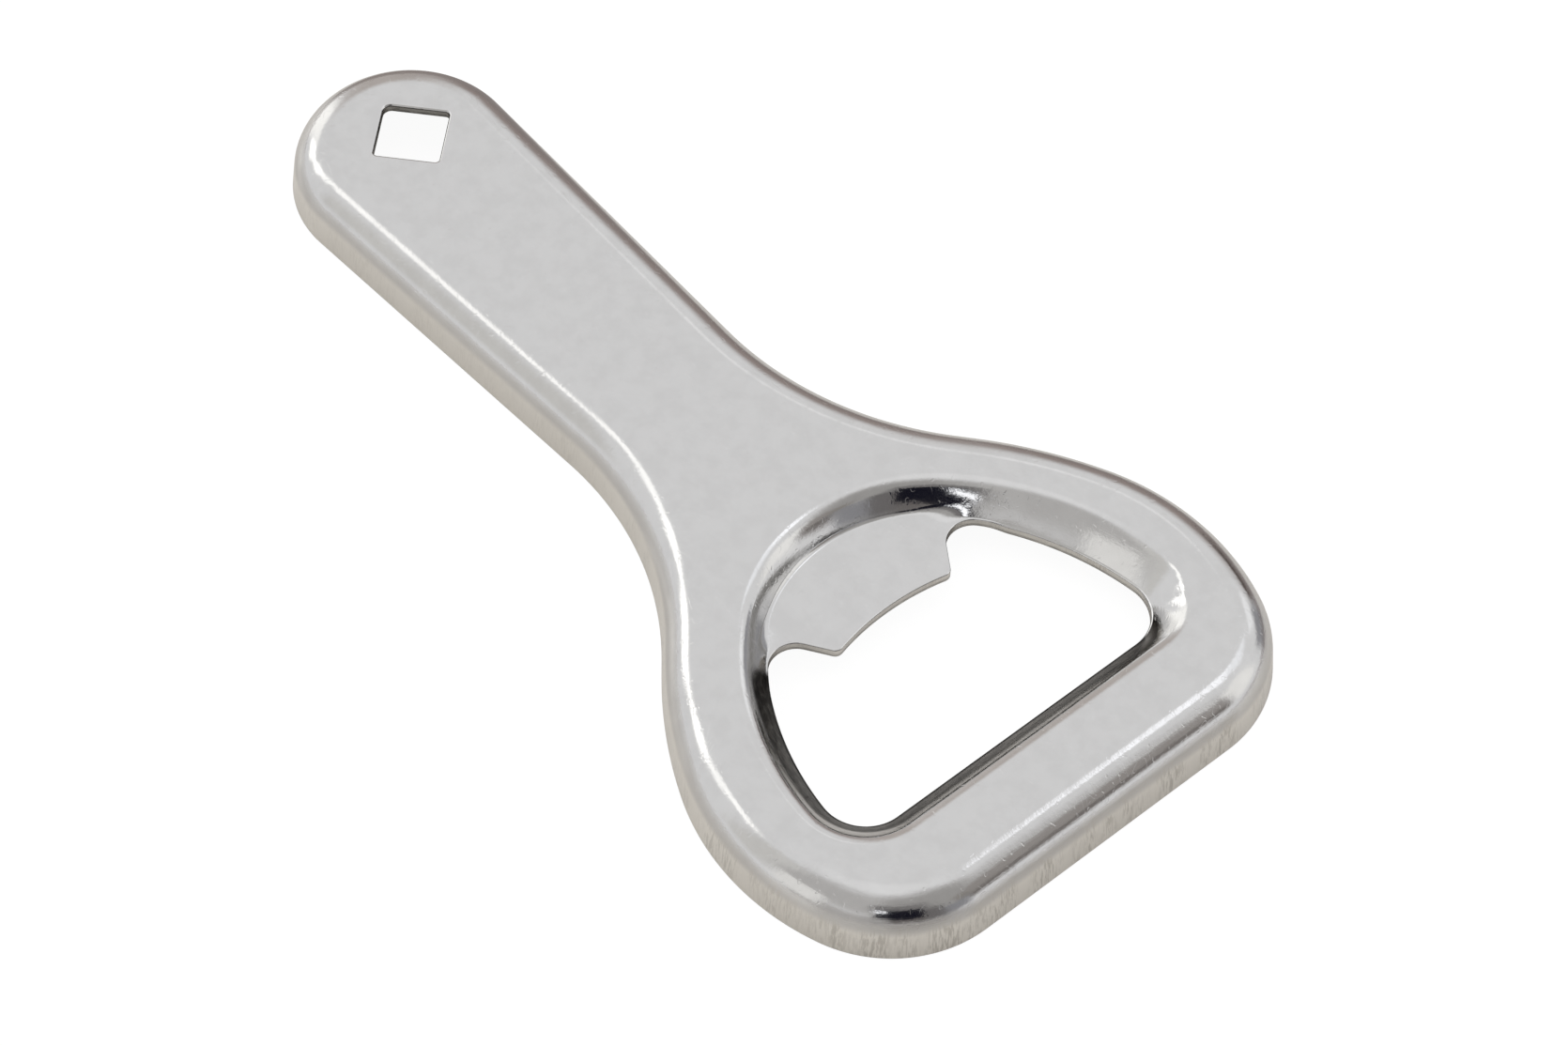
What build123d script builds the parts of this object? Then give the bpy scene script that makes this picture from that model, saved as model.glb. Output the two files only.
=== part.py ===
from build123d import *

import os
from math import asin, cos, degrees, radians, sin

# One-piece bottle opener pressed from sheet steel: a hollow-backed shell with a turned-down
# skirt, a pocket drawn into the head, and a tab left standing in the pocket's floor.
# The rim of the skirt lies on z = 0. +X runs from the handle to the head, and the outline is
# symmetrical about the X axis. The origin is the middle of the footprint.

# Shell
overall_length = 110.0
height = 6.4
sheet = 0.95
skirt_draft = 5.4  # degrees from vertical
shoulder_radius = 4.0  # between the top face and the skirt

# Outline of the rim, followed along its -Y side from the handle's end to the head's end.
# Each heading is the outline's direction there, in degrees from +X towards +Y.
end_radius = 11.3
grip_heading = 2.0  # the grip narrows towards the neck
neck_radius = 32.5  # hollow
flank_heading = -40.3
flank_length = 2.4
flank_radius = 46.8
cheek_heading = -24.6
cheek_radius = 25.1
corner_heading = 20.4
corner_radius = 13.0

# Pocket drawn into the head, measured at the sharp corner of its wall and the top face
pocket_start = 69.75 - overall_length / 2
pocket_arch_radius = 17.8
pocket_side_heading = -47.0
pocket_side_radius = 29.0
pocket_corner_heading = -4.0
pocket_corner_radius = 6.2
pocket_depth = 2.6
pocket_draft = 35.0  # degrees from vertical
roll_radius = 2.2  # between the top face and the pocket's wall
floor_radius = 0.65  # between the pocket's wall and its floor

# Cap opening pierced through the pocket's floor
opening_start = 72.7 - overall_length / 2
opening_arch_radius = 16.8
opening_side_heading = -32.3
opening_side_radius = 30.5
opening_corner_heading = -7.4
opening_corner_radius = 4.3

# Tab left standing in the opening, its root rounded into the arch by a relief notch each side
tab_reach = 80.5 - overall_length / 2  # X of the middle of its hollow front edge
tab_front_radius = 26.2
tab_half_width = 6.8  # at the front corners, before they are rounded
tab_side_heading = -146.0  # the sides spread towards the roots
tab_corner_radius = 0.5
notch_radius = 2.6

# Square hanging hole, nearly corner to corner along the axis
hang_hole_x = 10.8 - overall_length / 2
hang_hole_shift = 0.8  # the punch lands off the axis
hang_hole_turn = 41.5  # degrees
hang_hole_side = 6.4
hang_hole_corner_radius = 0.4


def run(radius, heading_in, heading_out):
    """Distance along X covered by an arc that turns from one heading to another."""
    return radius * abs(sin(radians(heading_out)) - sin(radians(heading_in)))


def d_outline(start, arch_radius, side_heading, side_radius, corner_heading, corner_radius):
    """Closed D on the X axis: a rounded arch, two bowed sides and a straight end."""
    with BuildSketch() as sketch:
        with BuildLine():
            arch = JernArc((start, 0), (0, -1), arch_radius, side_heading + 90)
            side = JernArc(arch @ 1, arch % 1, side_radius, corner_heading - side_heading)
            corner = JernArc(side @ 1, side % 1, corner_radius, 90 - corner_heading)
            Line(corner @ 1, ((corner @ 1).X, 0))
            mirror(about=Plane.XZ)
        make_face()
    return sketch.sketch


# The straight grip takes up the length that the curved stretches leave.
curved_length = (
    run(end_radius, -90, grip_heading)
    + run(neck_radius, grip_heading, flank_heading)
    + flank_length * cos(radians(flank_heading))
    + run(flank_radius, flank_heading, cheek_heading)
    + run(cheek_radius, cheek_heading, corner_heading)
    + run(corner_radius, corner_heading, 90)
)
grip_length = (overall_length - curved_length) / cos(radians(grip_heading))

with BuildSketch() as rim_outline:
    with BuildLine():
        end = JernArc((-overall_length / 2, 0), (0, -1), end_radius, grip_heading + 90)
        grip = PolarLine(end @ 1, grip_length, direction=end % 1)
        neck = JernArc(grip @ 1, grip % 1, neck_radius, flank_heading - grip_heading)
        flank_line = PolarLine(neck @ 1, flank_length, direction=neck % 1)
        flank = JernArc(flank_line @ 1, flank_line % 1, flank_radius, cheek_heading - flank_heading)
        cheek = JernArc(flank @ 1, flank % 1, cheek_radius, corner_heading - cheek_heading)
        corner = JernArc(cheek @ 1, cheek % 1, corner_radius, 90 - corner_heading)
        Line(corner @ 1, (overall_length / 2, 0))
        mirror(about=Plane.XZ)
    make_face()

tab_half_angle = degrees(asin(tab_half_width / tab_front_radius))

with BuildSketch() as tab:
    with BuildLine():
        front = JernArc((tab_reach, 0), (0, -1), tab_front_radius, tab_half_angle)
        edge = PolarLine(front @ 1, pocket_arch_radius, tab_side_heading)
        Line(edge @ 1, ((edge @ 1).X, 0))
        mirror(about=Plane.XZ)
    make_face()
    fillet(tab.vertices().group_by(Axis.X)[-1], tab_corner_radius)

with BuildSketch() as opening:
    add(
        d_outline(
            opening_start,
            opening_arch_radius,
            opening_side_heading,
            opening_side_radius,
            opening_corner_heading,
            opening_corner_radius,
        )
    )
    add(tab, mode=Mode.SUBTRACT)
    tab_roots = opening.vertices().group_by(Axis.X)[0]
    fillet(tab_roots, notch_radius)

with BuildPart() as opener_body:
    # The pressing's outer skin as a solid: drafted skirt, rounded shoulder, top face
    add(rim_outline)
    extrude(amount=height, taper=skirt_draft)
    fillet(opener_body.faces().sort_by(Axis.Z)[-1].edges(), shoulder_radius)

    # The pocket sinks from the top face, rolled at the brim and rounded at the floor
    with BuildSketch(Plane.XY.offset(height)):
        add(
            d_outline(
                pocket_start,
                pocket_arch_radius,
                pocket_side_heading,
                pocket_side_radius,
                pocket_corner_heading,
                pocket_corner_radius,
            )
        )
    extrude(amount=-pocket_depth, taper=pocket_draft, mode=Mode.SUBTRACT)
    pocket_floor = opener_body.faces().filter_by(Plane.XY).sort_by(Axis.Z)[1]
    fillet(pocket_floor.edges(), floor_radius)
    top_face = opener_body.faces().filter_by(Plane.XY).sort_by(Axis.Z)[-1]
    fillet(top_face.inner_wires()[0].edges(), roll_radius)

    # Hollow it from below to the thickness of the sheet
    rim_face = opener_body.faces().filter_by(Plane.XY).sort_by(Axis.Z)[0]
    offset(amount=-sheet, openings=rim_face)

    # Pierce the cap opening and the hanging hole
    extrude(opening.sketch, amount=height, mode=Mode.SUBTRACT)
    with BuildSketch(Plane.XY.offset(height)):
        with Locations((hang_hole_x, hang_hole_shift)):
            RectangleRounded(
                hang_hole_side, hang_hole_side, hang_hole_corner_radius, rotation=hang_hole_turn
            )
    extrude(amount=-2 * sheet, mode=Mode.SUBTRACT)

opener_body.part.label = "opener_body"

os.makedirs("parts", exist_ok=True)
export_step(opener_body.part, "parts/opener_body.step")
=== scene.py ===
import math

import bmesh
import bpy
import numpy as np
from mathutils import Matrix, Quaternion, Vector, noise
from mathutils.geometry import delaunay_2d_cdt


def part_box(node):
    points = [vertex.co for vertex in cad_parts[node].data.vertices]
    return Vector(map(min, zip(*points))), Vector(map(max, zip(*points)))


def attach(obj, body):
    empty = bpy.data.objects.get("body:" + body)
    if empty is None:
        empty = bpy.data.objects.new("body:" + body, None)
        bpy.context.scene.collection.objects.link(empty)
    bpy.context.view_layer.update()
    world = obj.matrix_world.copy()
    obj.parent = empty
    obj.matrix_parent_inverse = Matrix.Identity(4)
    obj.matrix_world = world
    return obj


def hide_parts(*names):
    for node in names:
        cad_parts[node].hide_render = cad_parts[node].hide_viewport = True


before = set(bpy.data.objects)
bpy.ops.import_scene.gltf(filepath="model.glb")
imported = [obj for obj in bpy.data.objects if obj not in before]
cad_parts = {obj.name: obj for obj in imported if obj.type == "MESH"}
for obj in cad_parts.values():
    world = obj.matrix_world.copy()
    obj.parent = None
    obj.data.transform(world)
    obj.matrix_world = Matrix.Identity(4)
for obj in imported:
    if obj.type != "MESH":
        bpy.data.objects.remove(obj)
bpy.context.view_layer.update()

# The opener is one sheet-steel pressing. Its looks come from a fine mesh of the same shape as
# the CAD node, with the true surface normal stored at every vertex, so that the polish reflects
# without facets. Lengths are in millimetres until the mesh is made.
MM = 0.001
NODE = "opener_body"
box_low, box_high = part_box(NODE)
LENGTH = (box_high.x - box_low.x) / MM
HEIGHT = box_high.z / MM
HANDLE_END = box_low.x / MM

SHEET = 0.95
SKIRT_DRAFT = 5.4  # degrees from vertical
SHOULDER_RADIUS = 4.0
RIM_BREAK = 0.15  # rounding of the skirt's cut edge

# Places along the length, from the handle's end
POCKET_START = 69.75
OPENING_START = 72.7
TAB_REACH = 80.5  # the middle of the tab's hollow front edge
HANG_HOLE_AT = 10.8

# Cap opening and the tab in it
ARCH_RADIUS = 16.8
NOTCH_RADIUS = 2.6
TAB_FRONT_RADIUS = 26.2
TAB_CORNER_RADIUS = 0.8
TAB_HALF_WIDTH = 6.8
TAB_SIDE_HEADING = -146.0

# Hanging hole
HANG_HOLE_SHIFT = 0.8  # the punch lands off the axis
HANG_HOLE_SIDE = 6.4
HANG_HOLE_TURN = 41.5  # degrees
HANG_HOLE_CORNERS = (0.45, 0.45, 0.85, 0.45)  # the one towards the handle's end is worn rounder

# Pocket around the cap opening
POCKET_DEPTH = 2.6
POCKET_FLOOR = HEIGHT - POCKET_DEPTH
ROLL_START = -1.145  # inset at which the top face starts to roll over
ROLL_RADIUS = 2.2
FLOOR_RADIUS = 0.65
WALL_TOP = 50.0  # by the tab: the wall's slope at its top, in degrees from level
WALL_FOOT = 60.0  # and at its foot
WALL_BOW = 6.0  # off the tab: how much the wall bows each way from a straight run, in degrees
RIM_LEFT = 0.22  # left between the foot of the wall and the opening, off the tab
TAB_END = 9.0  # distances round the pocket between which one wall turns into the other
NOTCH_END = 17.5

# Pierced edges: rounded where the punch went in, broken sharp where it came out
OPENING_ROLL = 0.13
HANG_HOLE_ROLL = 0.28
EDGE_BREAK = 0.07

# The punch drags the opening's rim down, except along the tab
DROOP = 0.34
DROOP_WIDTH = 1.15
DROOP_RUN = 3.0  # distance from the tab's root over which it sets in
FREE_HEIGHT = 2.0  # from here up the skin is free to move; the skirt's rim stays on the ground
SLOPE_STEP = 0.02  # for measuring how the moved skin slopes

# Painted shade: a near-black band painted round the opening's edge. It stands in for the dark
# reflection that the lower wall shows on the near sides. It runs out towards +Y: soon past the
# axis where it is clear of the head's end, and further on along that end.
PAINTED_BAND_WIDTH = 2.0
PAINTED_BAND_FADE = 0.45  # softness of the band's edge
PAINTED_BAND_RISE = 0.3  # height above the floor's underside from which it shows in full
PAST_AXIS = 1.0
PAST_AXIS_FADE = 6.0
WELL_PAST_AXIS = 12.0
WELL_PAST_AXIS_FADE = 5.0
CLEAR_OF_END = 11.5  # distance from the head's end
CLEAR_OF_END_FADE = 4.0

# Mesh fineness: steps along outlines, steps across each part of the profiles, grid on the flats
SPACING = 0.4
ARC_STEP = 5.0  # degrees
SHOULDER_ROWS = 18
SKIRT_ROWS = 6
INNER_SHOULDER_ROWS = 12
INNER_SKIRT_ROWS = 5
RIM_ROWS = 4
RIM_FLAT_ROWS = 2
BRIM_ROWS = 14
WALL_ROWS = 15
TAB_WALL_ROWS = 6  # how many of those are above the fillet by the tab
ENTRY_ROWS = 5
CUT_ROWS = 4
EDGE_BREAK_ROWS = 2
GRID = 1.3

# Unevenness of the pressed sheet
WAVE_HEIGHT = 0.012
WAVE_LENGTH = 9.0


# ---------------------------------------------------------------------------------------------
# Outlines, followed counter-clockwise; headings and turns are in degrees, left turns positive
# ---------------------------------------------------------------------------------------------

def line(length):
    """Step of an outline: a length and a turn."""
    return length, 0.0


def arc(radius, turn):
    return radius * math.radians(abs(turn)), turn


def unit(degrees):
    return np.array((math.cos(math.radians(degrees)), math.sin(math.radians(degrees))))


def smooth(t):
    """Smooth step from 0 to 1."""
    t = np.clip(t, 0, 1)
    return t * t * (3 - 2 * t)


def trace(start, heading, steps):
    """Points and headings along a run of lines and arcs."""
    point = np.array(start, float)
    points = [point]
    headings = [heading]
    for length, turn in steps:
        count = max(1, math.ceil(length / SPACING), math.ceil(abs(turn) / ARC_STEP))
        if turn:
            radius = length / math.radians(turn)
            centre = point + radius * unit(heading + 90)
            for k in range(1, count + 1):
                there = heading + turn * k / count
                points.append(centre + radius * unit(there - 90))
                headings.append(there)
        else:
            for k in range(1, count + 1):
                points.append(point + unit(heading) * length * k / count)
                headings.append(heading)
        point = points[-1]
        heading = headings[-1]
    return np.array(points), np.array(headings)


def closed(points, headings):
    """Closed outline from one that ends where it began: points, outward normals, run length."""
    normals = np.stack([np.sin(np.radians(headings)), -np.cos(np.radians(headings))], 1)
    run = np.r_[0, np.cumsum(np.linalg.norm(np.diff(points, axis=0), axis=1))]
    return {"points": points[:-1], "normals": normals[:-1], "run": run[:-1]}


def mirrored(start, heading, steps):
    """Outline with the same steps on both sides of the X axis, closed by a straight stretch.

    The run length is counted from the start on both sides."""
    points, _ = trace(start, heading, steps)
    points, headings = trace(start, heading, steps + [line(-points[-1][1])])
    flip = np.array((1.0, -1.0))
    points = np.concatenate([points, points[-2::-1] * flip])
    headings = np.concatenate([headings, 180 - headings[-2::-1]])
    outline = closed(points, headings)
    half = len(points) // 2
    index = np.arange(len(points) - 1)
    outline["run"] = outline["run"][np.minimum(index, 2 * half - index)]
    return outline


def reach(point, heading, offset, centre, distance):
    """How far along a line the spot offset to its left leaves a circle round centre."""
    start = point + offset * unit(heading + 90) - centre
    along = start @ unit(heading)
    return -along + math.sqrt(along**2 - start @ start + distance**2)


def bearing(vector):
    """Heading in which a vector points."""
    return math.degrees(math.atan2(vector[1], vector[0]))


def rim_outline():
    """Footprint of the skirt. The straight grip takes up the length that the curves leave."""
    end = [arc(11.3, 92.0)]
    head = [
        arc(32.5, -42.3),  # hollow neck
        line(2.4),
        arc(46.8, 15.7),  # flank
        arc(25.1, 45.0),  # cheek
        arc(13.0, 69.6),  # corner
    ]
    grip_heading = -90 + end[0][1]
    points, _ = trace((0, 0), -90, end + head)
    grip = (LENGTH - points[-1][0]) / math.cos(math.radians(grip_heading))
    return mirrored((HANDLE_END, 0), -90, end + [line(grip)] + head)


def pocket_outline():
    """Sharp corner of the pocket's wall and the top face: arch, bowed side, corner."""
    steps = [arc(17.8, 43.0), arc(29.0, 43.0), arc(6.2, 94.0)]
    return mirrored((HANDLE_END + POCKET_START, 0), -90, steps)


def opening_outline():
    """Edge of the cap opening, from the middle of the tab's hollow front round to the head's end."""
    arch_centre = np.array((HANDLE_END + OPENING_START + ARCH_RADIUS, 0.0))
    front_centre = np.array((HANDLE_END + TAB_REACH + TAB_FRONT_RADIUS, 0.0))
    half_angle = math.degrees(math.asin(TAB_HALF_WIDTH / TAB_FRONT_RADIUS))
    sharp = front_centre + TAB_FRONT_RADIUS * unit(180 + half_angle)  # front corner, unrounded
    back = unit(TAB_SIDE_HEADING)
    left = unit(TAB_SIDE_HEADING + 90)

    front_reach = TAB_FRONT_RADIUS + TAB_CORNER_RADIUS
    corner_at = reach(sharp, TAB_SIDE_HEADING, -TAB_CORNER_RADIUS, front_centre, front_reach)
    corner_centre = sharp + corner_at * back - TAB_CORNER_RADIUS * left
    front_turn = bearing(corner_centre - front_centre) + 180

    notch_reach = ARCH_RADIUS - NOTCH_RADIUS
    notch_at = reach(sharp, TAB_SIDE_HEADING, NOTCH_RADIUS, arch_centre, notch_reach)
    notch_centre = sharp + notch_at * back + NOTCH_RADIUS * left
    arch_heading = bearing(notch_centre - arch_centre) + 90

    tab = [
        arc(TAB_FRONT_RADIUS, front_turn),
        arc(TAB_CORNER_RADIUS, TAB_SIDE_HEADING + 90 - front_turn),
        line(notch_at - corner_at),
        arc(NOTCH_RADIUS, arch_heading - TAB_SIDE_HEADING),
    ]
    rest = [
        arc(ARCH_RADIUS, -32.3 - arch_heading),  # arch, as far as the side's heading
        arc(30.5, 24.9),  # bowed side
        arc(4.3, 97.4),  # corner
    ]
    outline = mirrored((HANDLE_END + TAB_REACH, 0), -90, tab + rest)
    tab_length = sum(length for length, turn in tab)
    outline["droop"] = smooth((outline["run"] - tab_length) / DROOP_RUN)
    return outline


def hang_hole_outline():
    """Square hanging hole with rounded corners, nearly corner to corner along the axis."""
    centre = np.array((HANDLE_END + HANG_HOLE_AT, HANG_HOLE_SHIFT))
    half_side = HANG_HOLE_SIDE / 2
    start = centre - half_side * unit(HANG_HOLE_TURN + 90)
    steps = [line(half_side - HANG_HOLE_CORNERS[0])]
    for radius, following in zip(HANG_HOLE_CORNERS, HANG_HOLE_CORNERS[1:] + (half_side,)):
        steps += [arc(radius, 90), line(HANG_HOLE_SIDE - radius - following)]
    return closed(*trace(start, HANG_HOLE_TURN, steps))


# ---------------------------------------------------------------------------------------------
# Profiles: rows of (inset from the outline, height, outward part and upward part of the normal)
# ---------------------------------------------------------------------------------------------

def bend(centre, radius, first, last, count, hollow=False):
    """Arc of a profile. The angles are the normal's, from outward (0) to upward (90)."""
    rows = []
    side = -1 if hollow else 1
    for angle in np.radians(np.linspace(first, last, count + 1)):
        out, up = math.cos(angle), math.sin(angle)
        rows.append((centre[0] - side * radius * out, centre[1] + side * radius * up, out, up))
    return rows


def between(rows_a, rows_b, count):
    """Straight stretch between the last row of one profile and the first of the next."""
    first, last = np.array(rows_a[-1]), np.array(rows_b[0])
    return [tuple(first + (last - first) * k / count) for k in range(1, count)]


def shell_profile():
    """From the underside's flat, down the inside of the skirt, round the rim and up to the top.

    Comes with how much each row is a cut face, from 0 to 1."""
    slope = math.radians(SKIRT_DRAFT)
    tangent = SHOULDER_RADIUS * math.tan(math.radians(90 - SKIRT_DRAFT) / 2)
    shoulder = (HEIGHT * math.tan(slope) + tangent, HEIGHT - SHOULDER_RADIUS)
    outer_foot = (RIM_BREAK / math.cos(slope) + RIM_BREAK * math.tan(slope), RIM_BREAK)
    inner_foot = ((SHEET - RIM_BREAK) / math.cos(slope) + RIM_BREAK * math.tan(slope), RIM_BREAK)

    inner_radius = SHOULDER_RADIUS - SHEET
    inner_draft = 180 + SKIRT_DRAFT
    inside = bend(shoulder, inner_radius, 270, inner_draft, INNER_SHOULDER_ROWS, hollow=True)
    inside_foot = bend(inner_foot, RIM_BREAK, inner_draft, 270, RIM_ROWS)
    outside_foot = bend(outer_foot, RIM_BREAK, -90, SKIRT_DRAFT, RIM_ROWS)
    outside = bend(shoulder, SHOULDER_RADIUS, SKIRT_DRAFT, 90, SHOULDER_ROWS)
    down = inside + between(inside, inside_foot, INNER_SKIRT_ROWS)
    rim = inside_foot + between(inside_foot, outside_foot, RIM_FLAT_ROWS) + outside_foot[:-1]
    up = outside_foot[-1:] + between(outside_foot, outside, SKIRT_ROWS) + outside
    return down + rim + up, [0] * len(down) + [1] * len(rim) + [0] * len(up)


def tab_profile(depth_below):
    """By the tab: over the brim, down the bowed wall and round to the pocket's flat floor."""
    top, foot = math.radians(WALL_TOP), math.radians(WALL_FOOT)
    drop = POCKET_DEPTH - ROLL_RADIUS * (1 - math.cos(top)) - FLOOR_RADIUS * (1 - math.cos(foot))
    wall_radius = drop / (math.cos(top) - math.cos(foot))
    brim = (ROLL_START, HEIGHT - ROLL_RADIUS)
    deeper = wall_radius - ROLL_RADIUS
    wall = (brim[0] - deeper * math.sin(top), brim[1] - deeper * math.cos(top))
    hollow = (wall[0] + (wall_radius + FLOOR_RADIUS) * math.sin(foot), POCKET_FLOOR + FLOOR_RADIUS)
    over = bend(brim, ROLL_RADIUS - depth_below, 90, 90 + WALL_TOP, BRIM_ROWS)
    down = bend(wall, wall_radius - depth_below, 90 + WALL_TOP, 90 + WALL_FOOT, TAB_WALL_ROWS)
    left = WALL_ROWS - TAB_WALL_ROWS
    under = bend(hollow, FLOOR_RADIUS + depth_below, 90 + WALL_FOOT, 90, left, hollow=True)
    return np.array(over + down[1:] + under[1:])[:, None]


def rim_profile(depth_below, room, sunk):
    """Off the tab: over the brim, then down a bowed wall to the opening's rim.

    room is the way from the outline to the opening, and sunk is how far the rim was dragged
    down. The face below follows only when the skin settles."""
    across = room - RIM_LEFT - ROLL_START
    down = HEIGHT - ROLL_RADIUS - POCKET_FLOOR + sunk
    lean = np.arctan2(down, across) + np.arcsin(ROLL_RADIUS / np.hypot(across, down))
    top = lean - math.radians(WALL_BOW)
    radius = ROLL_RADIUS - depth_below
    rows = []
    for k in range(BRIM_ROWS + 1):
        out, up = np.sin(top * k / BRIM_ROWS), np.cos(top * k / BRIM_ROWS)
        rows.append((ROLL_START + radius * out, HEIGHT - ROLL_RADIUS + radius * up, -out, up))

    first_inset, first_height = rows[-1][:2]
    width = room - RIM_LEFT - depth_below * np.tan(lean / 2) - first_inset
    last_height = POCKET_FLOOR - depth_below if depth_below else POCKET_FLOOR - sunk
    drop = first_height - last_height
    turn = 2 * (np.arctan2(drop, width) - top)
    wall_radius = np.hypot(width, drop) / (2 * np.sin(turn / 2))
    for k in range(1, WALL_ROWS + 1):
        slope = top + turn * k / WALL_ROWS
        inset = first_inset + wall_radius * (np.sin(slope) - np.sin(top))
        height = first_height - wall_radius * (np.cos(top) - np.cos(slope))
        rows.append((inset, height, -np.sin(slope), np.cos(slope)))
    return np.array(rows).transpose(0, 2, 1)


def pocket_wall(pocket, opening, depth_below):
    """The pocket's profile at each point round it."""
    run = pocket["run"]
    room = nearest(pocket["points"], opening["points"])[0]
    room = np.where(run < NOTCH_END, room[np.argmin(np.abs(run - NOTCH_END))], room)
    foot = pocket["points"] - pocket["normals"] * (room - RIM_LEFT)[:, None]
    sunk = DROOP * edge_closeness(foot, opening, DROOP_WIDTH) ** 2
    share = smooth((run - TAB_END) / (NOTCH_END - TAB_END))[:, None]
    rows = tab_profile(depth_below) * (1 - share) + rim_profile(depth_below, room, sunk) * share
    rows[:, :, 2:] /= np.linalg.norm(rows[:, :, 2:], axis=2)[:, :, None]
    return rows


def pierced_profile(top, roll):
    """Cut edge of a hole through the sheet, from the face above to the face below.

    Comes with how far down the cut each row is, from 0 to 1."""
    entry = bend((-roll, top - roll), roll, 90, 180, ENTRY_ROWS)
    exit_centre = (-EDGE_BREAK, top - SHEET + EDGE_BREAK)
    leaving = bend(exit_centre, EDGE_BREAK, 180, 270, EDGE_BREAK_ROWS)
    rows = entry + between(entry, leaving, CUT_ROWS) + leaving
    return rows, np.clip((np.arange(len(rows)) - ENTRY_ROWS) / CUT_ROWS, 0, 1)


# ---------------------------------------------------------------------------------------------
# The skin: vertices with their normals, and the faces between them
# ---------------------------------------------------------------------------------------------

WHOLE_HULL = 0  # kind of output asked of the triangulation
SAME_PLACE = 1e-7  # points closer than this are one


class Skin:
    """Grows ring by ring. All rings share their vertices with the faces on both sides."""

    def __init__(self):
        self.points = np.zeros((0, 3))
        self.normals = np.zeros((0, 3))
        self.marks = np.zeros((0, 2))  # run length along the outline, and how far down a cut
        self.faces = []

    def add(self, points, normals, marks):
        """Adds vertices and returns their numbers."""
        first = len(self.points)
        self.points = np.concatenate([self.points, points])
        self.normals = np.concatenate([self.normals, normals])
        self.marks = np.concatenate([self.marks, marks])
        return np.arange(first, first + len(points))

    def sweep(self, outline, profile, cut=0.0):
        """Carries a profile round an outline and returns its rings of vertex numbers.

        The profile is one list of rows, or an array that also holds a row for each point.
        cut tells how far down a cut face each row is, from 0 to 1."""
        count = len(outline["points"])
        profile = np.array(profile)
        cut = np.broadcast_to(cut, len(profile))
        if profile.ndim == 2:
            profile = np.repeat(profile[:, None], count, axis=1)
        rings = []
        for row, places in enumerate(profile):
            inset, height, out, up = places[:, :, None].transpose(1, 0, 2)
            flat = outline["points"] - outline["normals"] * inset
            marks = np.stack([outline["run"], np.full(count, cut[row])], 1)
            tilted = np.hstack([outline["normals"] * out, up])
            rings.append(self.add(np.hstack([flat, height]), tilted, marks))
        for ring, following in zip(rings, rings[1:]):
            for k in range(len(ring)):
                n = (k + 1) % len(ring)
                self.faces.append((ring[k], ring[n], following[n], following[k]))
        return rings

    def fill(self, rings, normal_z):
        """Fills the flat between an outer ring and the rings of the holes in it."""
        height = self.points[rings[0][0], 2]
        loops = [self.points[ring, :2] for ring in rings]
        inner = grid_points(loops)
        level = np.full((len(inner), 1), height)
        normals = np.tile((0.0, 0.0, normal_z), (len(inner), 1))
        added = self.add(np.hstack([inner, level]), normals, np.zeros((len(inner), 2)))
        numbers = np.concatenate(rings + [added])
        flat = self.points[numbers, :2]
        edges = []
        first = 0
        for ring in rings:
            edges += [(first + k, first + (k + 1) % len(ring)) for k in range(len(ring))]
            first += len(ring)
        result = delaunay_2d_cdt([Vector(p) for p in flat], edges, [], WHOLE_HULL, SAME_PLACE)
        faces, origins = result[2:4]
        triangles = np.array([[origins[v][0] for v in face] for face in faces])
        keep = within(flat[triangles].mean(1), loops)
        self.faces += [tuple(numbers[t]) for t in triangles[keep]]


def within(points, loops):
    """True for points inside the first loop and outside the others."""
    crossings = np.zeros(len(points), int)
    for loop in loops:
        a, b = loop, np.roll(loop, -1, axis=0)
        for (ax, ay), (bx, by) in zip(a, b):
            if ay != by:
                spans = (ay > points[:, 1]) != (by > points[:, 1])
                x = ax + (points[:, 1] - ay) * (bx - ax) / (by - ay)
                crossings += spans & (points[:, 0] < x)
    return crossings % 2 == 1


def nearest(points, loop):
    """Distance of each point to a loop, the number of the nearest stretch and the place along it."""
    a, b = loop, np.roll(loop, -1, axis=0)
    step = b - a
    best = np.full(len(points), np.inf)
    number = np.zeros(len(points), int)
    place = np.zeros(len(points))
    for k in range(len(a)):
        t = np.clip((points - a[k]) @ step[k] / (step[k] @ step[k]), 0, 1)
        distance = np.linalg.norm(points - a[k] - t[:, None] * step[k], axis=1)
        closer = distance < best
        best[closer] = distance[closer]
        number[closer] = k
        place[closer] = t[closer]
    return best, number, place


def grid_points(loops):
    """Staggered grid over a flat, clear of its edges."""
    low, high = loops[0].min(0), loops[0].max(0)
    rows = np.arange(low[1], high[1], GRID * math.sqrt(3) / 2)
    points = []
    for k, y in enumerate(rows):
        points += [(x, y) for x in np.arange(low[0] + GRID / 2 * (k % 2), high[0], GRID)]
    points = np.array(points)
    points = points[within(points, loops)]
    for loop in loops:
        clear = np.ones(len(points), bool)
        for k in range(len(loop)):
            clear &= np.linalg.norm(points - loop[k], axis=1) > GRID / 2
        points = points[clear]
    return points


def edge_closeness(flat, opening, width):
    """1 at the opening's edge, 0 from a width away and along the tab."""
    closeness = np.zeros(len(flat))
    low = opening["points"].min(0) - 2 * width
    high = opening["points"].max(0) + 2 * width
    near = np.where(np.all((flat > low) & (flat < high), axis=1))[0]
    distance, number, place = nearest(flat[near], opening["points"])
    weight = opening["droop"]
    share = weight[number] * (1 - place) + np.roll(weight, -1)[number] * place
    closeness[near] = share * np.clip(1 - distance / width, 0, 1)
    return closeness


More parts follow.
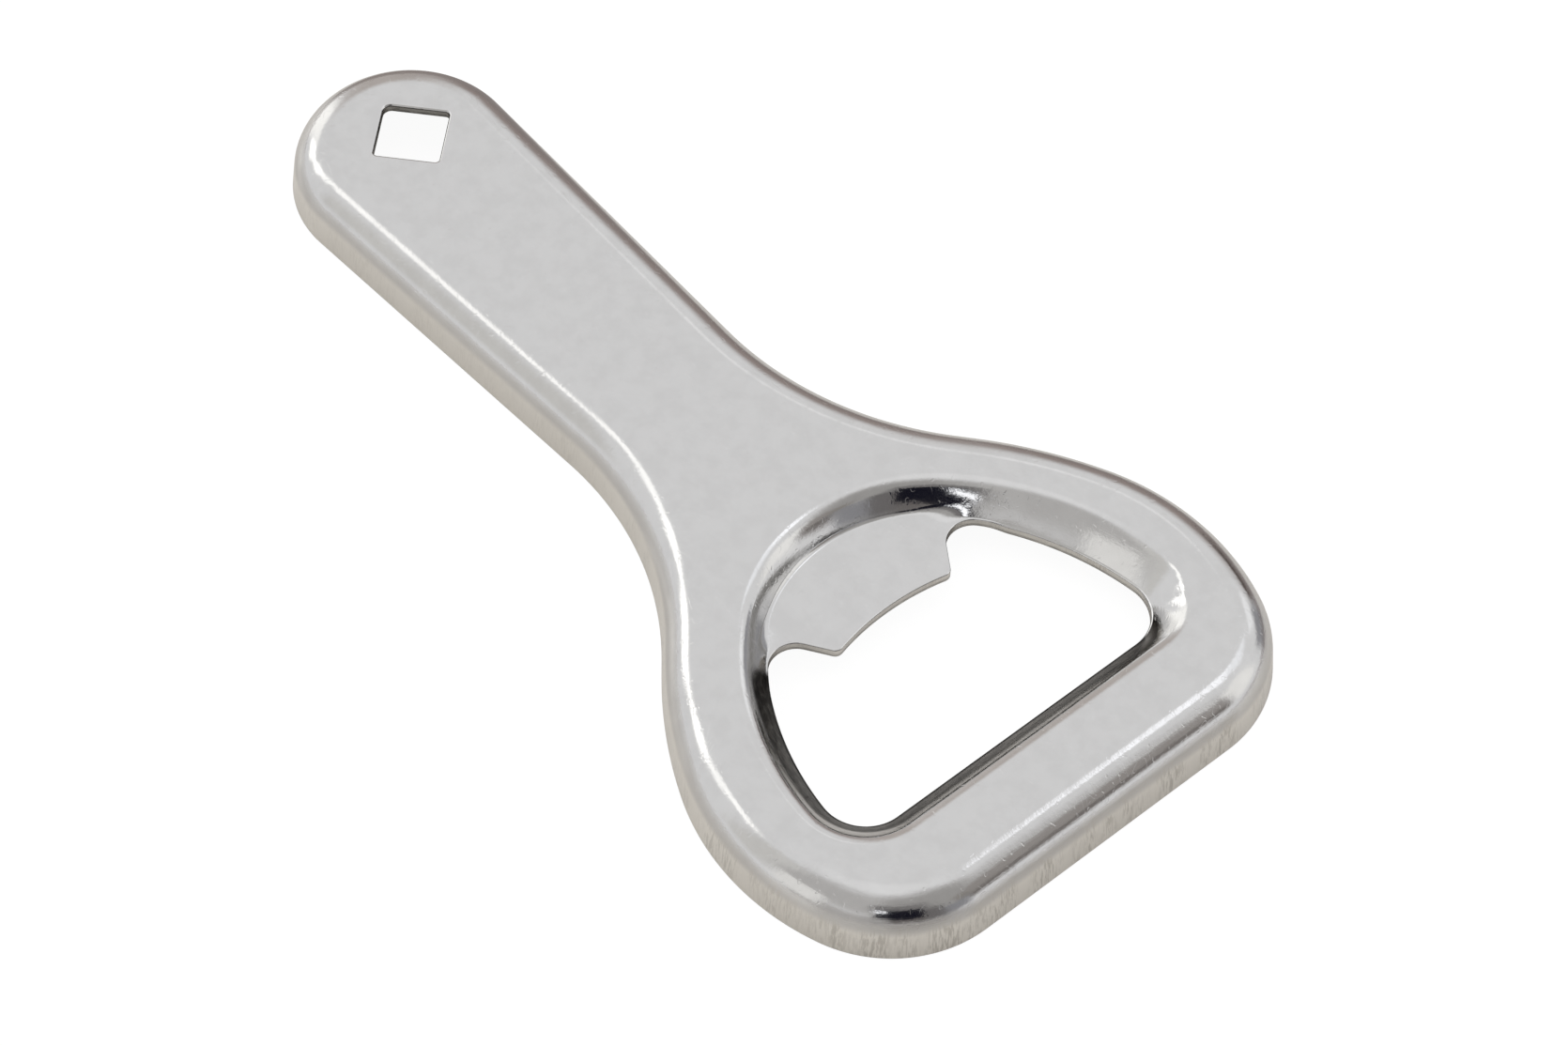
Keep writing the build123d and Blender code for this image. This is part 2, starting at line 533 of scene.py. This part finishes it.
def painted_dark_band(points, opening):
    """Painted shade, from 0 to 1: a dark band round the opening's edge, left out towards +Y."""
    x, y, z = points.T
    clear_of_end = smooth((HANDLE_END + LENGTH - CLEAR_OF_END - x) / CLEAR_OF_END_FADE)
    past_axis = smooth((y - PAST_AXIS) / PAST_AXIS_FADE)
    well_past_axis = smooth((y - WELL_PAST_AXIS) / WELL_PAST_AXIS_FADE)
    far_side = np.maximum(past_axis * clear_of_end, well_past_axis)
    width = PAINTED_BAND_WIDTH * (1 - far_side)
    gap = PAINTED_BAND_WIDTH * (1 - edge_closeness(points[:, :2], opening, PAINTED_BAND_WIDTH))
    shown = smooth((z - POCKET_FLOOR + SHEET) / PAINTED_BAND_RISE)
    return smooth((width - gap) / PAINTED_BAND_FADE) * shown


def wave(flat):
    """Slight unevenness of the pressing."""
    height = np.empty(len(flat))
    for k, (x, y) in enumerate(flat):
        height[k] = noise.noise(Vector((x, y, 0)) / WAVE_LENGTH)
    return WAVE_HEIGHT * height


def settle(skin, opening, shaped):
    """Moves the skin up and down by the droop and the wave, and turns its normals with it.

    The shaped rings don't droop, because they reach down to the dragged rim already."""
    sinks = np.full(len(skin.points), DROOP)
    sinks[np.concatenate(shaped)] = 0

    def rise(flat):
        return wave(flat) - sinks * edge_closeness(flat, opening, DROOP_WIDTH) ** 2

    flat = skin.points[:, :2]
    here = rise(flat)
    slope_x = (rise(flat + (SLOPE_STEP, 0)) - here) / SLOPE_STEP
    slope_y = (rise(flat + (0, SLOPE_STEP)) - here) / SLOPE_STEP
    free = smooth(skin.points[:, 2] / FREE_HEIGHT)
    up = skin.normals[:, 2]
    skin.points[:, 2] += here * free
    skin.normals[:, 0] -= slope_x * free * up
    skin.normals[:, 1] -= slope_y * free * up
    skin.normals /= np.linalg.norm(skin.normals, axis=1)[:, None]


def press_opener():
    """The whole pressing as one closed skin."""
    opening = opening_outline()
    pocket = pocket_outline()
    skin = Skin()
    outer = skin.sweep(rim_outline(), *shell_profile())
    above = skin.sweep(pocket, pocket_wall(pocket, opening, 0))
    below = skin.sweep(pocket, pocket_wall(pocket, opening, SHEET))
    opening_edge = skin.sweep(opening, *pierced_profile(POCKET_FLOOR, OPENING_ROLL))
    hole_edge = skin.sweep(hang_hole_outline(), *pierced_profile(HEIGHT, HANG_HOLE_ROLL))
    for ring in below:
        skin.normals[ring] *= -1
    skin.fill([outer[-1], above[0], hole_edge[0]], 1)
    skin.fill([outer[0], below[0], hole_edge[-1]], -1)
    skin.fill([above[-1], opening_edge[0]], 1)
    skin.fill([below[-1], opening_edge[-1]], -1)
    # painted shade: mask of the near-black band round the opening
    skin.marks = np.column_stack([skin.marks, painted_dark_band(skin.points, opening)])
    settle(skin, opening, above)
    return skin


def make_piece(name, skin):
    """Mesh object from a skin, with its normals and the marks that the material reads."""
    mesh = bpy.data.meshes.new(name)
    mesh.from_pydata((skin.points * MM).tolist(), [], [tuple(map(int, f)) for f in skin.faces])
    shaper = bmesh.new()
    shaper.from_mesh(mesh)
    bmesh.ops.recalc_face_normals(shaper, faces=shaper.faces)
    shaper.to_mesh(mesh)
    shaper.free()
    mesh.polygons.foreach_set("use_smooth", [True] * len(mesh.polygons))
    mesh.normals_split_custom_set_from_vertices(skin.normals.tolist())
    # the third mark is the mask of the painted dark band
    for column, mark in enumerate(("run", "cut", "painted_dark_band")):
        attribute = mesh.attributes.new(mark, "FLOAT", "POINT")
        attribute.data.foreach_set("value", skin.marks[:, column].astype(np.float32))
    piece = bpy.data.objects.new(name, mesh)
    bpy.context.scene.collection.objects.link(piece)
    return piece


# ---------------------------------------------------------------------------------------------
# Materials
# ---------------------------------------------------------------------------------------------

# Numbers of the nodes' outputs
CAMERA_RAY = 0
NORMAL = 1
FACTOR = 2
MIXED_COLOUR = 2
OBJECT_PLACE = 3


class Nodes:
    """Short names for building a node tree."""

    def __init__(self, tree):
        self.tree = tree
        tree.nodes.clear()

    def add(self, kind, values=(), output=0, **settings):
        """Adds a node, linking or setting its inputs, and returns one of its outputs."""
        node = self.tree.nodes.new(kind)
        for name, value in settings.items():
            setattr(node, name, value)
        for key, value in dict(values).items():
            if isinstance(value, bpy.types.NodeSocket):
                self.tree.links.new(value, node.inputs[key])
            else:
                node.inputs[key].default_value = value
        return node.outputs[output] if node.outputs else node

    def math(self, operation, *values):
        return self.add("ShaderNodeMath", enumerate(values), operation=operation)

    def times(self, first, second):
        return self.math("MULTIPLY", first, second)

    def combine(self, x=0.0, y=0.0, z=0.0):
        return self.add("ShaderNodeCombineXYZ", {0: x, 1: y, 2: z})

    def split(self, vector):
        return self.add("ShaderNodeSeparateXYZ", {0: vector}).node.outputs

    def mark(self, name):
        """One of the marks stored on the mesh."""
        return self.add("ShaderNodeAttribute", attribute_name=name, output=FACTOR)

    def scale(self, vector, factors):
        return self.add("ShaderNodeVectorMath", {0: vector, 1: factors}, operation="MULTIPLY")

    def noise(self, vector, scale, detail=2.0, roughness=0.5, distortion=0.0):
        values = {
            "Vector": vector,
            "Scale": scale,
            "Detail": detail,
            "Roughness": roughness,
            "Distortion": distortion,
        }
        return self.add("ShaderNodeTexNoise", values)

    def ramp(self, value, low, high, to_low=0.0, to_high=1.0):
        """Smooth step from to_low at low to to_high at high. High may be less than low."""
        values = {0: value, 1: low, 2: high, 3: to_low, 4: to_high}
        return self.add("ShaderNodeMapRange", values, interpolation_type="SMOOTHSTEP")

    def mix(self, factor, first, second):
        values = {0: factor, 6: first, 7: second}
        return self.add("ShaderNodeMix", values, output=MIXED_COLOUR, data_type="RGBA")

    def hairlines(self, vector, turn, scale, stretch, width, amount):
        """Thin scratches: the middle contour of a stretched noise, broken up by another."""
        values = {0: vector, 3: math.radians(turn)}
        turned = self.add("ShaderNodeVectorRotate", values, rotation_type="Z_AXIS")
        field = self.noise(self.scale(turned, (scale, scale * stretch, scale)), 1.0, 1.0, 0.5, 0.35)
        off = self.math("ABSOLUTE", self.math("SUBTRACT", field, 0.5))
        thin = self.ramp(off, width, 0.0)
        patch = self.noise(self.scale(turned, (scale * 2.2, scale * 1.3, scale)), 1.0, 2.0)
        return self.times(thin, self.ramp(patch, 1 - amount, 1.12 - amount))


# Colours of the metal
POLISHED = (0.638, 0.634, 0.628, 1)
STAINED = (0.608, 0.603, 0.597, 1)
PAINTED_BRIGHT_UPRIGHT = (0.86, 0.845, 0.81, 1)  # painted light: upright faces made brighter, standing in for the bright floor they mirror
DRAWN = (0.62, 0.60, 0.565, 1)
SHEARED = (0.46, 0.45, 0.435, 1)
# Painted shade: the near-black band round the opening, and its lighter mottle
PAINTED_DARK_BAND = (0.012, 0.011, 0.010, 1)
PAINTED_DARK_BAND_MOTTLE = (0.095, 0.09, 0.085, 1)

# Families of hairline scratches: turn in degrees, scale, stretch, width and amount
HAIRLINES = (
    (20, 0.16, 5.0, 0.004, 0.46),
    (65, 0.22, 4.0, 0.004, 0.46),
    (-35, 0.30, 2.2, 0.005, 0.44),
    (110, 0.55, 1.6, 0.006, 0.38),
)


def drawn_marks(n, run, xyz, drawn):
    """Patches of fine upright lines where the sheet was drawn over the die."""
    along = n.combine(run, n.times(xyz[2], 0.12), n.times(xyz[1], 0.02))
    lines = n.ramp(n.noise(along, 5.0, 3.0, 0.62), 0.45, 0.60)
    patches = n.ramp(n.noise(along, 0.35, 2.0), 0.36, 0.62)
    return n.times(lines, n.times(drawn, patches))


def all_scratches(n, where):
    """The families of hairlines laid over each other."""
    scratches = n.hairlines(where, *HAIRLINES[0])
    for family in HAIRLINES[1:]:
        scratches = n.math("MAXIMUM", scratches, n.hairlines(where, *family))
    return scratches


def sheared_texture(n, run, xyz):
    """Grain down a cut edge."""
    place = n.combine(run, n.times(xyz[2], 6.0))
    return n.noise(n.scale(place, (0.6, 1.0, 1.0)), 1.0, 4.0, 0.65)


def nickel_plate():
    """Bright nickel over drawn steel: fine orange peel, hairlines, draw marks, sheared cut edges,
    painted light and shade.
    """
    material = bpy.data.materials.new("plated_steel")
    material.use_nodes = True
    n = Nodes(material.node_tree)
    where = n.scale(n.add("ShaderNodeTexCoord", output=OBJECT_PLACE), (1 / MM, 1 / MM, 1 / MM))
    xyz = n.split(where)
    run = n.mark("run")
    cut = n.ramp(n.mark("cut"), 0.40, 0.70)  # the upper part of a cut stays out of the sheared colour and keeps the painted brightening
    # painted shade: where the near-black band round the opening is painted
    painted_band_mask = n.mark("painted_dark_band")
    normal = n.split(n.add("ShaderNodeNewGeometry", output=NORMAL))
    flatness = n.math("ABSOLUTE", normal[2])  # 1 on level faces, 0 on upright ones
    headward = n.ramp(xyz[0], 18.0, 46.0, 0.25, 1.0)  # the head was drawn hardest

    # Layers of the fine surface
    peel = n.noise(where, 1.9, 2.0, 0.6)
    grain = n.noise(where, 7.0, 1.0, 0.5)
    scratches = all_scratches(n, where)
    specks = n.ramp(n.noise(where, 1.7, 0.0), 0.72, 0.78)
    marks = drawn_marks(n, run, xyz, n.times(n.ramp(flatness, 0.55, 0.15), headward))
    rounded = n.ramp(flatness, 0.98, 0.90)
    lines = n.noise(n.combine(n.times(run, 0.06), xyz[2]), 7.0, 3.0, 0.7)
    streaks = n.times(lines, n.times(rounded, headward))
    sheared = sheared_texture(n, run, xyz)
    mottle_place = n.combine(n.times(run, 0.35), n.times(painted_band_mask, 0.8), xyz[2])
    mottle = n.noise(mottle_place, 1.6, 4.0, 0.7, 0.5)

    height = n.times(peel, 0.008)
    for layer, depth in (
        (grain, 0.0018),
        (scratches, -0.004),
        (specks, -0.006),
        (marks, -0.006),
        (streaks, 0.006),
        (n.times(sheared, cut), 0.012),
        (n.times(mottle, painted_band_mask), 0.05),
    ):
        height = n.math("MULTIPLY_ADD", layer, depth, height)
    relief = {"Height": n.times(height, MM), "Distance": 1.0, "Strength": 1.0}
    bump = n.add("ShaderNodeBump", relief)

    roughness = n.ramp(n.noise(where, 0.12, 3.0, 0.6), 0.3, 0.7, 0.08, 0.13)
    for layer, amount in ((scratches, 0.15), (marks, 0.12), (cut, 0.18), (painted_band_mask, 0.20)):
        roughness = n.math("MULTIPLY_ADD", layer, amount, roughness)

    stain = n.ramp(n.noise(where, 0.45, 4.0, 0.6), 0.35, 0.7)
    colour = n.mix(stain, POLISHED, STAINED)
    # painted light: upright faces, the skirt and the cut edges, get a brighter colour in place of
    # reflection
    colour = n.mix(n.ramp(flatness, 0.34, 0.12), colour, PAINTED_BRIGHT_UPRIGHT)
    colour = n.mix(marks, colour, DRAWN)
    colour = n.mix(n.times(cut, n.ramp(sheared, 0.25, 0.6)), colour, SHEARED)
    # painted shade: the band round the opening turns near black, standing in for a dark reflection
    painted_dark_colour = n.mix(n.ramp(mottle, 0.42, 0.66), PAINTED_DARK_BAND, PAINTED_DARK_BAND_MOTTLE)
    colour = n.mix(painted_band_mask, colour, painted_dark_colour)
    shader = n.add(
        "ShaderNodeBsdfPrincipled",
        {"Base Color": colour, "Metallic": 1.0, "Roughness": roughness, "Normal": bump},
    )
    n.add("ShaderNodeOutputMaterial", {0: shader})
    return material


# The floor as the camera sees it, and as the metal mirrors it
PAPER = (0.992, 0.992, 0.99, 1)
PAPER_BRIGHT = (1, 1, 1, 1)
PAPER_GLOW = 0.95
PAPER_GREY = (0.12, 0.12, 0.12, 1)
SHEET_TONE = (0.83, 0.80, 0.755, 1)
TABLE_TONE = (0.30, 0.25, 0.235, 1)
TABLE_SLANT = 0.36  # the table's edge runs this much towards +Y for each step along +X
TABLE_NEAR = 0.027  # metres beyond the axis where the sheet starts to give way
TABLE_FAR = 0.036  # and where it has


def floor_sheet():
    """Pale sheet. The metal mirrors it as glossy, with a dark table beyond its far edge.

    To the camera it is matte and glows all over, so that its shadows stay faint."""
    material = bpy.data.materials.new("floor_sheet")
    material.use_nodes = True
    n = Nodes(material.node_tree)
    place = n.add("ShaderNodeTexCoord", output=OBJECT_PLACE)
    paper = n.mix(n.noise(place, 60.0, 3.0), PAPER, PAPER_BRIGHT)
    glow = n.add("ShaderNodeEmission", {0: paper, 1: PAPER_GLOW})
    matte = n.add("ShaderNodeBsdfDiffuse", {0: PAPER_GREY})
    shown = n.add("ShaderNodeAddShader", {0: glow, 1: matte})

    xyz = n.split(place)
    beyond = n.math("SUBTRACT", xyz[1], n.times(xyz[0], TABLE_SLANT))
    tone = n.mix(n.ramp(beyond, TABLE_NEAR, TABLE_FAR), SHEET_TONE, TABLE_TONE)
    values = {"Base Color": tone, "Roughness": 0.18, "IOR": 1.5}
    mirrored_sheet = n.add("ShaderNodeBsdfPrincipled", values)
    seen = n.add("ShaderNodeLightPath", output=CAMERA_RAY)
    shader = n.add("ShaderNodeMixShader", {0: seen, 1: mirrored_sheet, 2: shown})
    n.add("ShaderNodeOutputMaterial", {0: shader})
    return material


# ---------------------------------------------------------------------------------------------
# Studio
# ---------------------------------------------------------------------------------------------

# Soft-edged areas of the room around the object, each laid over the ones before it:
# azimuth from +X towards +Y, elevation, half width, half height, edge softness (all degrees),
# and the colour of its light
ROOM = (
    (0, 90, 190, 15, 12, (1.03, 1.03, 1.04)),  # overhead light
    (322, 46, 78, 26, 26, (0.62, 0.61, 0.60)),  # dim front of the room
    (352, 46, 36, 23, 24, (0.45, 0.44, 0.43)),
    (315, 6, 52, 11, 8, (0.56, 0.545, 0.53)),
    (265, 18, 9, 14, 6, (1.05, 1.04, 1.02)),
    (243, 34, 10, 24, 12, (0.80, 0.79, 0.77)),  # pale wall
    (50, 25, 12, 17, 9, (1.16, 1.15, 1.13)),  # side window
    (84, 4, 10, 12, 8, (0.38, 0.38, 0.40)),
    (80, 60, 13, 5, 5, (1.60, 1.62, 1.68)),  # high softbox
    (83, 50, 10, 7, 8, (1.22, 1.24, 1.28)),
    (94, 27, 8, 6, 6, (1.20, 1.21, 1.23)),
    (129, 46, 6, 3, 4, (1.12, 1.12, 1.13)),
    (148, 12, 12, 22, 18, (0.62, 0.57, 0.54)),  # furniture
    (121, 2, 18, 15, 24, (0.38, 0.32, 0.30)),
    (103, 0, 8, 9, 8, (0.14, 0.115, 0.105)),  # dark doorway
    (173, 14, 10, 15, 8, (1.45, 1.44, 1.41)),  # large softbox, seen as a slanting bar
    (191, 20, 7, 8, 4, (1.95, 1.94, 1.90)),
    (203, 31, 6, 8, 4, (1.95, 1.94, 1.91)),
    (209, 43, 6, 8, 5, (1.60, 1.60, 1.58)),
    (217, 51, 9, 4, 4, (1.60, 1.59, 1.57)),
    (16, 27, 9, 8, 8, (0.33, 0.31, 0.29)),  # dim side of the room
    (27, 25, 8, 14, 8, (0.39, 0.365, 0.35)),
    (24, 17, 8, 4, 5, (0.22, 0.20, 0.19)),
    (4, 14, 12, 10, 8, (0.34, 0.34, 0.36)),
    (348, 18, 10, 15, 10, (0.20, 0.19, 0.19)),  # dark corner
    (328, 40, 22, 9, 10, (0.25, 0.24, 0.24)),  # photographer
    (326, 13, 18, 9, 7, (0.20, 0.185, 0.18)),
    (327, 26, 17, 12, 4, (0.01, 0.01, 0.018)),  # camera
    (311, 11, 8, 6, 8, (0.52, 0.51, 0.50)),  # and what shows below it on one side
    (313, 33, 4, 2.5, 3, (1.90, 1.93, 2.00)),  # lamp beside it
)
WALLS = (0.94, 0.94, 0.95)  # everywhere else
BACKDROP = (1, 1, 1, 1)  # what the camera itself sees instead of the room


def light_room():
    """Soft light from all round, in which the metal mirrors the areas of the room."""
    world = bpy.data.worlds.new("studio")
    world.use_nodes = True
    bpy.context.scene.world = world
    n = Nodes(world.node_tree)
    xyz = n.split(n.add("ShaderNodeTexCoord"))
    azimuth = n.math("DEGREES", n.math("ARCTAN2", xyz[1], xyz[0]))
    elevation = n.math("DEGREES", n.math("ARCSINE", xyz[2]))
    colour = n.add("ShaderNodeRGB")
    colour.default_value = (*WALLS, 1)
    for centre, level, half_width, half_height, soft, light in ROOM:
        turned = n.math("WRAP", n.math("SUBTRACT", azimuth, centre), -180, 180)
        aside = n.math("ABSOLUTE", turned)
        above = n.math("ABSOLUTE", n.math("SUBTRACT", elevation, level))
        across = n.ramp(aside, half_width + soft / 2, half_width - soft / 2)
        upright = n.ramp(above, half_height + soft / 2, half_height - soft / 2)
        colour = n.mix(n.times(across, upright), colour, (*light, 1))
    seen = n.add("ShaderNodeLightPath", output=CAMERA_RAY)
    background = n.add("ShaderNodeBackground", {0: n.mix(seen, colour, BACKDROP), 1: 1.0})
    n.add("ShaderNodeOutputWorld", {0: background})


FLOOR_SIZE = 6.0  # radius in metres
FLOOR_SIDES = 96
FLOOR_GAP = 0.00003  # between the floor and the rim that stands on it


def lay_floor():
    """A round sheet, much larger than the object, just under it."""
    mesh = bpy.data.meshes.new("floor")
    shaper = bmesh.new()
    bmesh.ops.create_circle(shaper, cap_ends=True, segments=FLOOR_SIDES, radius=FLOOR_SIZE)
    bmesh.ops.translate(shaper, verts=shaper.verts, vec=(0, 0, -FLOOR_GAP))
    shaper.to_mesh(mesh)
    shaper.free()
    floor = bpy.data.objects.new("floor", mesh)
    floor.data.materials.append(floor_sheet())
    bpy.context.scene.collection.objects.link(floor)


# The camera stands off the head's near corner and looks down along the opener. Degrees, metres.
CAMERA_AZIMUTH = -42.87
CAMERA_ELEVATION = 53.35
CAMERA_ROLL = 2.28
CAMERA_DISTANCE = 0.49074
CAMERA_AIM = Vector((0.0103, 0.0008, 0.0))


def place_camera():
    """The photograph's viewpoint and lens."""
    elevation = math.radians(CAMERA_ELEVATION)
    back = Vector((*(unit(CAMERA_AZIMUTH) * math.cos(elevation)), math.sin(elevation)))
    data = bpy.data.cameras.new("camera")
    data.lens = 122.38
    data.sensor_width = 36.0
    data.clip_start = 0.01
    data.clip_end = 50.0
    camera = bpy.data.objects.new("camera", data)
    camera.location = CAMERA_AIM + back * CAMERA_DISTANCE
    camera.rotation_mode = "QUATERNION"
    roll = Quaternion((0, 0, 1), math.radians(CAMERA_ROLL))
    camera.rotation_quaternion = (-back).to_track_quat("-Z", "Y") @ roll
    bpy.context.scene.collection.objects.link(camera)
    bpy.context.scene.camera = camera


bpy.context.scene.view_settings.view_transform = "Standard"
plate = nickel_plate()
opener = make_piece("opener_shell", press_opener())
opener.data.materials.append(plate)
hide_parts(NODE)
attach(opener, "root")
node_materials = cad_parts[NODE].data.materials
node_materials.clear()
node_materials.append(plate)
light_room()
lay_floor()
place_camera()
